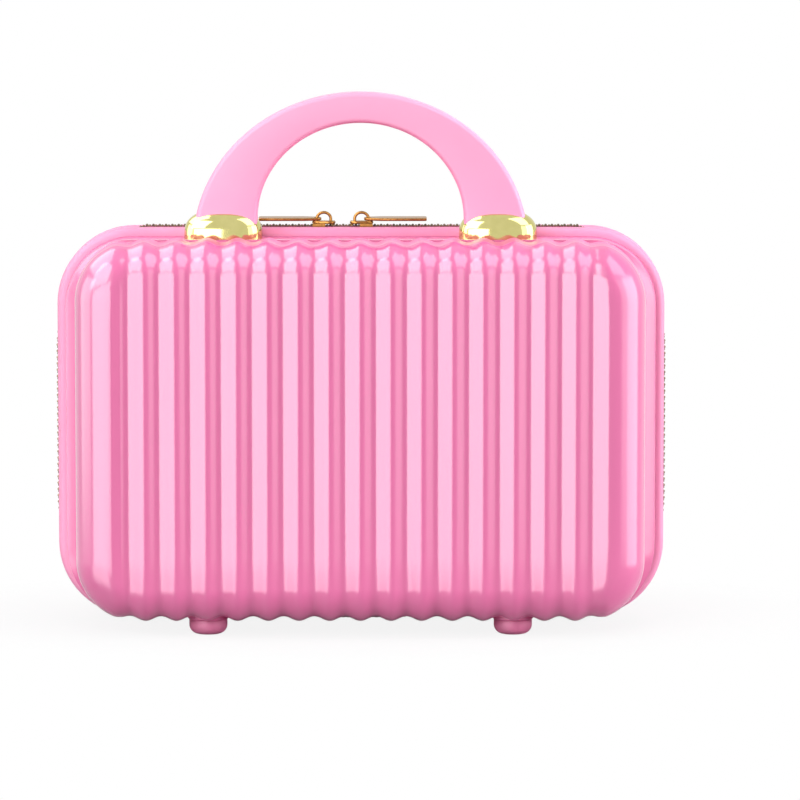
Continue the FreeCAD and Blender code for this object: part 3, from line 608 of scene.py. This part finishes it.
# Pulls: flat bars stamped from brass strip and plated, with rounded corners and a punched eye.
# Each hangs on its slider's bail and lies outwards along the zip.
PULL_LENGTH, PULL_WIDTH, PULL_NECK, PULL_THICK = 28.5, 6.5, 4.4, 1.4
PULL_EYE, PULL_EDGE, PULL_TIP, PULL_TILT = 1.21, 0.3, 1.3, math.radians(6)
for slider_name, slider_x, head in SLIDERS:
    outline = []
    for turn in span(math.pi / 2, -math.pi / 2, 16):
        outline.append((PULL_NECK / 2 * math.cos(turn), PULL_NECK / 2 * math.sin(turn)))
    tip = PULL_TIP
    for turn in span(-math.pi / 2, -math.pi, 6):
        outline.append((-PULL_LENGTH + tip + tip * math.cos(turn), -PULL_WIDTH / 2 + tip + tip * math.sin(turn)))
    for turn in span(math.pi, math.pi / 2, 6):
        outline.append((-PULL_LENGTH + tip + tip * math.cos(turn), PULL_WIDTH / 2 - tip + tip * math.sin(turn)))
    outline = outline[:17] + [(-PULL_WIDTH, -PULL_WIDTH / 2)] + outline[17:] + [(-PULL_WIDTH, PULL_WIDTH / 2)]
    bar = bpy.data.curves.new(f"pull_bar_{slider_name}", "CURVE")
    bar.dimensions, bar.fill_mode = "2D", "BOTH"
    bar.extrude = (PULL_THICK / 2 - PULL_EDGE) * 0.001
    bar.bevel_depth, bar.bevel_resolution = PULL_EDGE * 0.001, 3
    bar.offset = -PULL_EDGE * 0.001
    eye = [(PULL_EYE * math.cos(turn), PULL_EYE * math.sin(turn)) for turn in span(0, 2 * math.pi, 24)[:-1]]
    for loop in (outline, eye):
        spline = bar.splines.new("POLY")
        spline.points.add(len(loop) - 1)
        spline.use_cyclic_u = True
        for spot, (along, across) in zip(spline.points, loop):
            spot.co = (along * 0.001, across * 0.001, 0, 1)
    blank = bpy.data.objects.new("blank", bar)
    mesh = bpy.data.meshes.new_from_object(blank)
    bpy.data.objects.remove(blank)
    seat = Matrix.Translation(Vector((slider_x - head * BAIL_RADIUS, 0, BAIL_CENTRE)) * 0.001)
    mesh.transform(seat @ Matrix.Rotation(PULL_TILT, 4, "X") @ Matrix.Diagonal((head, head, 1, 1)))
    mesh.name = f"pull_bar_{slider_name}"
    mesh.shade_smooth()
    mesh.set_sharp_from_angle(angle=math.radians(35))
    pull = bpy.data.objects.new(f"pull_bar_{slider_name}", mesh)
    bpy.context.scene.collection.objects.link(pull)
    brass.on(pull)
    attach(pull, f"pull_{slider_name}")
    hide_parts(f"pull_{slider_name}")

# Feet: round studs of satin pink plastic under each corner of the ribs, screwed on from inside.
# Their lower edges are rounded, and a boss of the shell fills the ribs above each one.
FOOT_X, FOOT_DEEP, FOOT_RADIUS, FOOT_ROUND, FOOT_TOP = 73.8, 45.0, 9.25, 4.4, 7.4


def turned(profile, x, y, points, faces, steps=48):
    """A turned form from (radius, height) pairs, closed at both ends."""
    start = len(points)
    for radius, height in profile:
        for turn in span(0, 2 * math.pi, steps)[:-1]:
            points.append((x + radius * math.cos(turn), y + radius * math.sin(turn), height))
    faces.extend(skin_faces(len(profile), steps, start=start))
    faces.extend(end_faces(len(profile), steps, start))


foot_pink = Finish("moulded_foot_pink", IOR=1.5)
scuffs = foot_pink.cloud(300, 4)
foot_pink.wear(Base_Color=foot_pink.blend(scuffs, (0.62, 0.15, 0.30, 1), (0.70, 0.19, 0.35, 1)),
               Roughness=0.4 + scuffs * 0.15)
foot_pink.bump(foot_pink.cloud(1600, 3), 0.02, 0.4)
for half_name, side in HALVES:
    points, faces, boss_points, boss_faces = [], [], [], []
    for x in (-FOOT_X, FOOT_X):
        profile = [(FOOT_RADIUS * 0.45, 0.5), (FOOT_RADIUS * 0.52, 0.12), (FOOT_RADIUS - FOOT_ROUND, 0.0)]
        profile += [(FOOT_RADIUS - FOOT_ROUND + FOOT_ROUND * math.sin(turn), FOOT_ROUND * (1 - math.cos(turn)))
                    for turn in span(0, math.pi / 2, 8)[1:]]
        profile += [(FOOT_RADIUS, FOOT_TOP - 0.5), (FOOT_RADIUS - 0.4, FOOT_TOP)]
        turned(profile, x, side * FOOT_DEEP, points, faces)
        turned([(9.6, FOOT_TOP), (10.0, FOOT_TOP + 0.4), (10.0, FOOT_TOP + 3.0)], x, side * FOOT_DEEP,
               boss_points, boss_faces)
    feet = whole(f"{half_name}_foot_studs", points, faces, smooth_under=40)
    foot_pink.on(feet)
    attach(feet, f"{half_name}_half")
    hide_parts(f"{half_name}_feet")
    bosses = whole(f"{half_name}_foot_bosses", boss_points, boss_faces, smooth_under=40)
    gloss_pink.on(bosses)
    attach(bosses, f"{half_name}_half")

# Fixings: zinc-plated screws for the feet, and screws and spreader plates for the handle.
# They stay as the solids have them, hidden between shell and lining.
zinc = Finish("zinc_plate", Metallic=1.0)
spangle = zinc.node("TexVoronoi", sockets={"Vector": zinc.spot(), "Scale": 700.0})
zinc.wear(Base_Color=zinc.blend(spangle, (0.48, 0.49, 0.51, 1), (0.66, 0.67, 0.69, 1)),
          Roughness=0.3 + spangle * 0.2)
for fixing in ("front_foot_screws", "rear_foot_screws", "handle_screws", "handle_plates"):
    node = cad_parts[fixing]
    soften = node.modifiers.new("edge", "BEVEL")
    soften.width, soften.segments = 0.0003, 2
    zinc.on(node)

# Linings: trays of blush polyester, cut as one cross, sewn at the corners and glued into each half.
# A fine weave shows close up, and the cloth lies a little uneven over the glue.
LINING_HALF, LINING_RISE, LINING_CORNER, LINING_DEPTH, LINING_ROLL = 132.6, 86.7, 24.9, 65.4, 12.4
LINING_FLOOR = LINING_DEPTH - 1.0
blush = Finish("blush_lining_cloth", Roughness=0.72, Sheen_Weight=0.35, Sheen_Roughness=0.4)
warp = blush.node("Math", {"operation": "SINE"}, {0: blush.along("X") * 5200})
weft = blush.node("Math", {"operation": "SINE"}, {0: (blush.along("Z") + blush.along("Y")) * 5200})
weave = warp * weft * 0.5 + 0.5
shade = blush.cloud(18, 3)
blush.wear(Base_Color=blush.blend(shade * 0.7 + weave * 0.3, (0.66, 0.33, 0.43, 1), (0.80, 0.46, 0.56, 1)))
blush.bump(weave, 0.06, 0.6)


def uneven(piece, amount, size, seed):
    """Sinks a soft piece along its normals by up to amount, in swells of about size."""
    shift = Vector((seed, 0, 0))
    moved = [vertex.co - vertex.normal * (amount * 0.0005 * (1 + noise.noise(vertex.co * (1000 / size) + shift)))
             for vertex in piece.data.vertices]
    for vertex, place in zip(piece.data.vertices, moved):
        vertex.co = place


cloth_tray = tray(columns=60, turns=10, rows=36, half=LINING_HALF, rise=LINING_RISE, corner=LINING_CORNER,
                  depth=LINING_DEPTH, roll=LINING_ROLL, roll_steps=6,
                  run=span(LINING_DEPTH - LINING_ROLL, RIM_DEPTH + 0.2, 16)[1:], carve=lambda x: 0.0)
for half_name, side in HALVES:
    lining = whole(f"{half_name}_cloth_lining", [(x, side * deep, MIDDLE + z) for x, deep, z in cloth_tray[0]],
                   cloth_tray[1], smooth_under=60)
    uneven(lining, 0.7, 28, 3 * side)
    cloth = lining.modifiers.new("cloth", "SOLIDIFY")
    cloth.thickness, cloth.offset = 0.0006, -1
    blush.on(lining)
    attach(lining, f"{half_name}_half")
    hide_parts(f"{half_name}_lining")

# Bindings: a flat braid of pink nylon over the raw edges of lining and rim, sewn through once.
# It is broad at the sides, narrow above and below, and slightly crowned.
braid = Finish("pink_nylon_braid", Roughness=0.6, Sheen_Weight=0.2)
cord_rows = braid.node("TexWave", {"bands_direction": "DIAGONAL"},
                       {"Vector": braid.spot(), "Scale": 330.0, "Distortion": 0.8})
braid.wear(Base_Color=braid.blend(cord_rows, (0.56, 0.12, 0.26, 1), (0.72, 0.20, 0.36, 1)))
braid.bump(cord_rows, 0.15, 0.7)
thread = Finish("pale_sewing_thread", Roughness=0.55)
twist = thread.cloud(2500, 2)
thread.wear(Base_Color=thread.blend(twist, (0.74, 0.42, 0.52, 1), (0.90, 0.60, 0.70, 1)))
BRAID_PROFILE = ((0.0, 7.2), (0.0, 5.4), (0.08, 4.75), (0.3, 4.5), (0.5, 4.45), (0.7, 4.5), (0.92, 4.75), (1.0, 5.4),
                 (1.0, 7.2), (0.5, 6.8))
STITCH_PITCH, STITCH_LONG, STITCH_WIDE = 4.0, 2.7, 0.3


def on_braid(spot, share, depth):
    fx, fz, nx, nz = spot
    outer = [BAND_HALF - SHEET, BAND_RISE - SHEET, BAND_CORNER - SHEET]
    half, rise, corner = [a + (b - a) * share for a, b in zip(outer, (LINING_HALF, LINING_RISE, LINING_CORNER))]
    return fx * (half - corner) + corner * nx, depth, fz * (rise - corner) + corner * nz


def stitches(name, ends, wide):
    """Short spindles of thread from one point to the next."""
    points, faces = [], []
    for first, second in ends:
        a, b = Vector(first), Vector(second)
        ahead = (b - a).normalized()
        up = Vector((0, 1, 0)) if abs(ahead.y) < 0.9 else Vector((1, 0, 0))
        across = ahead.cross(up).normalized()
        start = len(points)
        for share, thick in ((0.0, 0.35), (0.2, 0.9), (0.5, 1.0), (0.8, 0.9), (1.0, 0.35)):
            for turn in span(0, 2 * math.pi, 6)[:-1]:
                points.append(a + (b - a) * share + (across * math.cos(turn) + up * math.sin(turn)) * thick * wide)
        faces += skin_faces(5, 6, start=start)
        faces += end_faces(5, 6, start)
    return whole(name, points, faces, smooth_under=60)


for half_name, side in HALVES:
    spots = way_round(60, 14, 30)
    points = []
    for share, depth in BRAID_PROFILE:
        for spot in spots:
            x, y, z = on_braid(spot, share, depth)
            points.append((x, side * y, MIDDLE + z))
    binding = whole(f"{half_name}_braid_binding", points, skin_faces(len(BRAID_PROFILE), len(spots), wrap_rows=True),
                    smooth_under=50)
    braid.on(binding)
    ends = []
    for stitch in range(int(CHAIN_LENGTH / STITCH_PITCH)):
        pair = []
        for along in (stitch * STITCH_PITCH, stitch * STITCH_PITCH + STITCH_LONG):
            x, y, z = on_braid(along_chain(along), 0.5, 4.42)
            pair.append((x, side * y, MIDDLE + z))
        ends.append(pair)
    seam = stitches(f"{half_name}_binding_stitches", ends, STITCH_WIDE)
    thread.on(seam)
    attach(binding, f"{half_name}_half")
    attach(seam, f"{half_name}_half")
    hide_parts(f"{half_name}_binding")

# Lid pocket: a slack panel of the lining cloth, sewn to the lid's floor along three sides.
# Its mouth is drawn in by an elastic hem, which ruches the cloth below it.
POCKET_HALF, POCKET_LOW, POCKET_HIGH, HEM_HIGH = 95.0, 34.2, 139.2, 150.2
RUCHE = 7.6


def panel(name, columns, rows, low, high, lift):
    """A sheet that faces the inside of the lid; lift(x, share) is how far it stands off the floor."""
    points = [(x, -LINING_FLOOR + lift(x, share), low + (high - low) * share)
              for share in span(0, 1, rows) for x in span(-POCKET_HALF, POCKET_HALF, columns)]
    return whole(name, points, skin_faces(rows + 1, columns + 1, wrap_across=False), smooth_under=60)


def slack(x, share):
    edge = 1 - abs(x / POCKET_HALF) ** 6
    sag = 2.0 * edge * math.sin(math.pi * min(1.0, share * 0.62)) ** 0.8
    ruche = 0.45 * edge * share ** 2 * math.sin(2 * math.pi * x / RUCHE)
    crease = 0.5 * edge * noise.noise(Vector((x / 22, share * 3.1, 0.7)))
    return 1.2 + max(0.0, sag + ruche + crease * share)


pocket = panel("lid_pocket_cloth", 200, 40, POCKET_LOW, POCKET_HIGH, slack)
cloth = pocket.modifiers.new("cloth", "SOLIDIFY")
cloth.thickness, cloth.offset = 0.0006, 0
blush.on(pocket)
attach(pocket, "front_half")
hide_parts("lid_pocket")
hem = panel("lid_pocket_hem", 200, 10, POCKET_HIGH - 0.4, HEM_HIGH,
            lambda x, share: 1.4 + 1.7 * (1 - abs(x / POCKET_HALF) ** 6) + 0.4 * math.sin(2 * math.pi * x / RUCHE)
            * (1 - abs(2 * share - 1) ** 3) * (1 - abs(x / POCKET_HALF) ** 6) + 0.25 * math.sin(math.pi * share))
cloth = hem.modifiers.new("cloth", "SOLIDIFY")
cloth.thickness, cloth.offset = 0.001, 0
braid.on(hem)
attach(hem, "front_half")
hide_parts("lid_pocket_elastic")
SEAM_IN = 1.8
turns_at = [(-POCKET_HALF + SEAM_IN, POCKET_HIGH - 1), (-POCKET_HALF + SEAM_IN, POCKET_LOW + SEAM_IN),
            (POCKET_HALF - SEAM_IN, POCKET_LOW + SEAM_IN), (POCKET_HALF - SEAM_IN, POCKET_HIGH - 1)]
ends = []
for (ax, az), (bx, bz) in zip(turns_at, turns_at[1:]):
    count = round(math.hypot(bx - ax, bz - az) / STITCH_PITCH)
    for step in range(count):
        pair = []
        for share in ((step + 0.15) / count, (step + 0.85) / count):
            x, z = ax + (bx - ax) * share, az + (bz - az) * share
            pair.append((x, -LINING_FLOOR + slack(x, (z - POCKET_LOW) / (POCKET_HIGH - POCKET_LOW)) + 0.3, z))
        ends.append(pair)
pocket_seam = stitches("lid_pocket_stitches", ends, STITCH_WIDE)
thread.on(pocket_seam)
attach(pocket_seam, "front_half")

# Retaining strap: elastic webbing across the rear tray, held at each end under a sewn tab.
# It stands a little off the floor between the tabs, and the tabs are crowned with a box of stitches.
STRAP_HALF, STRAP_LOW, STRAP_HIGH = 108.0, 86.2, 111.2
TAB_NEAR, TAB_LOW, TAB_HIGH = 94.0, 81.2, 116.2
webbing = Finish("elastic_webbing", Roughness=0.65, Sheen_Weight=0.25)
rib_rows = webbing.node("Math", {"operation": "SINE"}, {0: webbing.along("Z") * 4200})
cross = webbing.node("Math", {"operation": "SINE"}, {0: webbing.along("X") * 3400})
webbing.wear(Base_Color=webbing.blend(rib_rows * 0.35 + cross * 0.1 + 0.5,
                                      (0.60, 0.15, 0.29, 1), (0.76, 0.24, 0.40, 1)))
webbing.bump(rib_rows * 0.5 + cross * 0.2, 0.12, 0.6)
points = []
for share in span(0, 1, 12):
    for x in span(-STRAP_HALF + 1, STRAP_HALF - 1, 120):
        stand = 0.6 + 1.4 * max(0.0, 1 - (x / TAB_NEAR) ** 2) ** 1.2 + 0.1 * math.sin(math.pi * share)
        points.append((x, LINING_FLOOR - stand, STRAP_LOW + (STRAP_HIGH - STRAP_LOW) * share))
strap = whole("strap_webbing", points, skin_faces(13, 121, wrap_across=False), smooth_under=60)
cloth = strap.modifiers.new("cloth", "SOLIDIFY")
cloth.thickness, cloth.offset = 0.0009, 0
webbing.on(strap)
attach(strap, "rear_half")
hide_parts("retainer_strap")
points, faces, ends = [], [], []
for tab_side in (-1, 1):
    half_wide, half_tall, corner = (STRAP_HALF - TAB_NEAR) / 2, (TAB_HIGH - TAB_LOW) / 2, 3.0
    start, size = len(points), 4 * 7
    levels = ((0.0, 1.2), (0.0, 1.7), (0.25, 2.0), (1.2, 2.15), (4.0, 2.2))
    for inset, stand in levels:
        for quarter, (sx, sz) in enumerate(((1, 1), (-1, 1), (-1, -1), (1, -1))):
            for turn in span(0, math.pi / 2, 6):
                angle = quarter * math.pi / 2 + turn
                reach, core = max(0.3, corner - inset), max(corner, inset + 0.3)
                points.append((tab_side * (STRAP_HALF + TAB_NEAR) / 2 + sx * (half_wide - core)
                               + reach * math.cos(angle), LINING_FLOOR - stand,
                               (TAB_LOW + TAB_HIGH) / 2 + sz * (half_tall - core) + reach * math.sin(angle)))
    faces += skin_faces(len(levels), size, start=start)
    faces += end_faces(len(levels), size, start)
    box_half, box_tall = half_wide - 1.8, half_tall - 1.8
    corners = [(-box_half, -box_tall), (box_half, -box_tall), (box_half, box_tall), (-box_half, box_tall)]
    for (ax, az), (bx, bz) in zip(corners, corners[1:] + corners[:1]):
        count = max(2, round(math.hypot(bx - ax, bz - az) / 3.4))
        for step in range(count):
            pair = []
            for share in ((step + 0.12) / count, (step + 0.88) / count):
                pair.append((tab_side * (STRAP_HALF + TAB_NEAR) / 2 + ax + (bx - ax) * share, LINING_FLOOR - 2.2,
                             (TAB_LOW + TAB_HIGH) / 2 + az + (bz - az) * share))
            ends.append(pair)
tabs = whole("strap_tabs", points, faces, smooth_under=50)
soft_vinyl.on(tabs)
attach(tabs, "rear_half")
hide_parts("strap_anchors")
box_seam = stitches("strap_tab_stitches", ends, 0.28)
thread.on(box_seam)
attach(box_seam, "rear_half")

# Studio: a small pale floor that fades at its edge, in a white surround.
# Softboxes named as cards show only as reflections; the key, overhead, fill and rear ones only light.
floor_mesh = bpy.data.meshes.new("floor")
floor_mesh.from_pydata([(-0.6, -0.5, 0), (0.6, -0.5, 0), (0.6, 0.5, 0), (-0.6, 0.5, 0)], [], [(0, 1, 2, 3)])
floor = bpy.data.objects.new("floor", floor_mesh)
bpy.context.scene.collection.objects.link(floor)
pale = Finish("pale_floor", Roughness=0.9)
by_camera, by_shadow, by_gloss, through = [
    pale.node("LightPath", output=f"Is {ray} Ray") for ray in ("Camera", "Shadow", "Glossy", "Transmission")]
seen = pale.node("Math", {"operation": "MAXIMUM"}, {0: by_camera, 1: by_gloss})
seen = pale.node("Math", {"operation": "MAXIMUM"}, {0: seen, 1: through})
across, deep = pale.along("X"), pale.along("Y")
near = ((across * (1 / 0.27)) ** 2 + ((deep - 0.02) * (1 / 0.15)) ** 2) ** 0.5
wide = ((across * (1 / 0.3)) ** 2 + ((deep - 0.03) * (1 / 0.19)) ** 2) ** 0.5
patch = pale.node("ValToRGB", {"stops": ((0.55, 0.12), (1.0, 0.0))}, {0: near})
sweep = pale.node("ValToRGB", {"stops": ((0.82, 1.0), (1.0, 0.0))}, {0: wide})
pale.wear(Base_Color=pale.blend(seen, (0.3, 0.28, 0.3, 1), (0.62, 0.61, 0.62, 1)),
          Alpha=by_camera * patch + (1 - by_camera) * (1 - by_shadow) * sweep)
pale.on(floor)

studio = bpy.data.worlds.new("studio")
bpy.context.scene.world = studio
studio.use_nodes = True


class Surround(Finish):
    """What lies around the case, made with the same nodes as a finish."""

    def __init__(self, world):
        self.tree = world.node_tree
        self.tree.nodes.clear()


surround = Surround(studio)
by_camera, by_gloss, through = [
    surround.node("LightPath", output=f"Is {ray} Ray") for ray in ("Camera", "Glossy", "Transmission")]
either = surround.node("Math", {"operation": "MAXIMUM"}, {0: by_gloss, 1: through})
seen = surround.node("Math", {"operation": "MAXIMUM"}, {0: by_camera, 1: either})
white = surround.node("Background", sockets={"Color": (1, 1, 1, 1), "Strength": 1.0})
ambient = surround.node("Background", sockets={"Color": (1, 1, 1, 1), "Strength": 0.08})
surround.node("OutputWorld", sockets={0: surround.node("MixShader", sockets={0: seen, 1: ambient, 2: white})})


LAMP_AIM = Vector((0, 0, 0.1))


def softbox(name, place, width, height, radiance, lights=True, mirrors=True):
    """A softbox aimed at the case; radiance is how bright its cloth looks."""
    lamp = bpy.data.lights.new(name, "AREA")
    lamp.shape, lamp.size, lamp.size_y = "RECTANGLE", width, height
    lamp.energy = radiance * math.pi * width * height
    holder = bpy.data.objects.new(name, lamp)
    holder.location = place
    holder.rotation_mode = "QUATERNION"
    holder.rotation_quaternion = (LAMP_AIM - Vector(place)).to_track_quat("-Z", "Y")
    holder.visible_camera = False
    holder.visible_diffuse, holder.visible_glossy = lights, mirrors
    bpy.context.scene.collection.objects.link(holder)


softbox("front_card", (-1.11, -1.85, 0.12), 2.2, 0.92, 4.0, lights=False)
softbox("lower_card", (-1.05, -1.25, -1.06), 1.8, 1.72, 2.6, lights=False)
softbox("upper_card", (-1.35, -1.20, 1.27), 1.9, 1.42, 3.8, lights=False)
softbox("top_card", (-1.35, 0.25, 2.0), 2.2, 2.1, 3.0, lights=False)
softbox("top_right_card", (1.2, -0.75, 1.7), 1.4, 1.5, 2.4, lights=False)
softbox("key", (-0.9, -1.55, 0.92), 2.0, 1.1, 4.4, mirrors=False)
softbox("overhead", (0.1, -0.35, 1.9), 1.8, 1.4, 2.5, mirrors=False)
softbox("side", (-2.0, -0.2, 0.4), 1.5, 1.2, 2.6)
softbox("strip", (1.55, -1.4, 0.35), 0.8, 1.2, 1.4)
softbox("fill", (2.1, -0.4, 0.5), 1.6, 1.3, 7.8, mirrors=False)
softbox("fill_card", (2.1, -0.5, 0.4), 1.6, 1.5, 3.0, lights=False)
softbox("rear", (0.4, 1.9, 0.8), 2.2, 1.4, 4.5, mirrors=False)

# Camera: a long lens in front of the case, a little above it, aimed beside the middle as in the picture.
CAMERA_AIM = Vector((0.0191, 0.0, 0.1089))
CAMERA_RISE, CAMERA_AWAY = math.radians(6.0), 2.55
camera = bpy.data.cameras.new("camera")
camera.lens, camera.sensor_width = 233.5, 36.0
viewer = bpy.data.objects.new("camera", camera)
viewer.location = CAMERA_AIM + CAMERA_AWAY * Vector((0, -math.cos(CAMERA_RISE), math.sin(CAMERA_RISE)))
viewer.rotation_mode = "QUATERNION"
viewer.rotation_quaternion = (CAMERA_AIM - viewer.location).to_track_quat("-Z", "Y")
bpy.context.scene.collection.objects.link(viewer)
bpy.context.scene.camera = viewer
bpy.context.scene.view_settings.view_transform = "Standard"
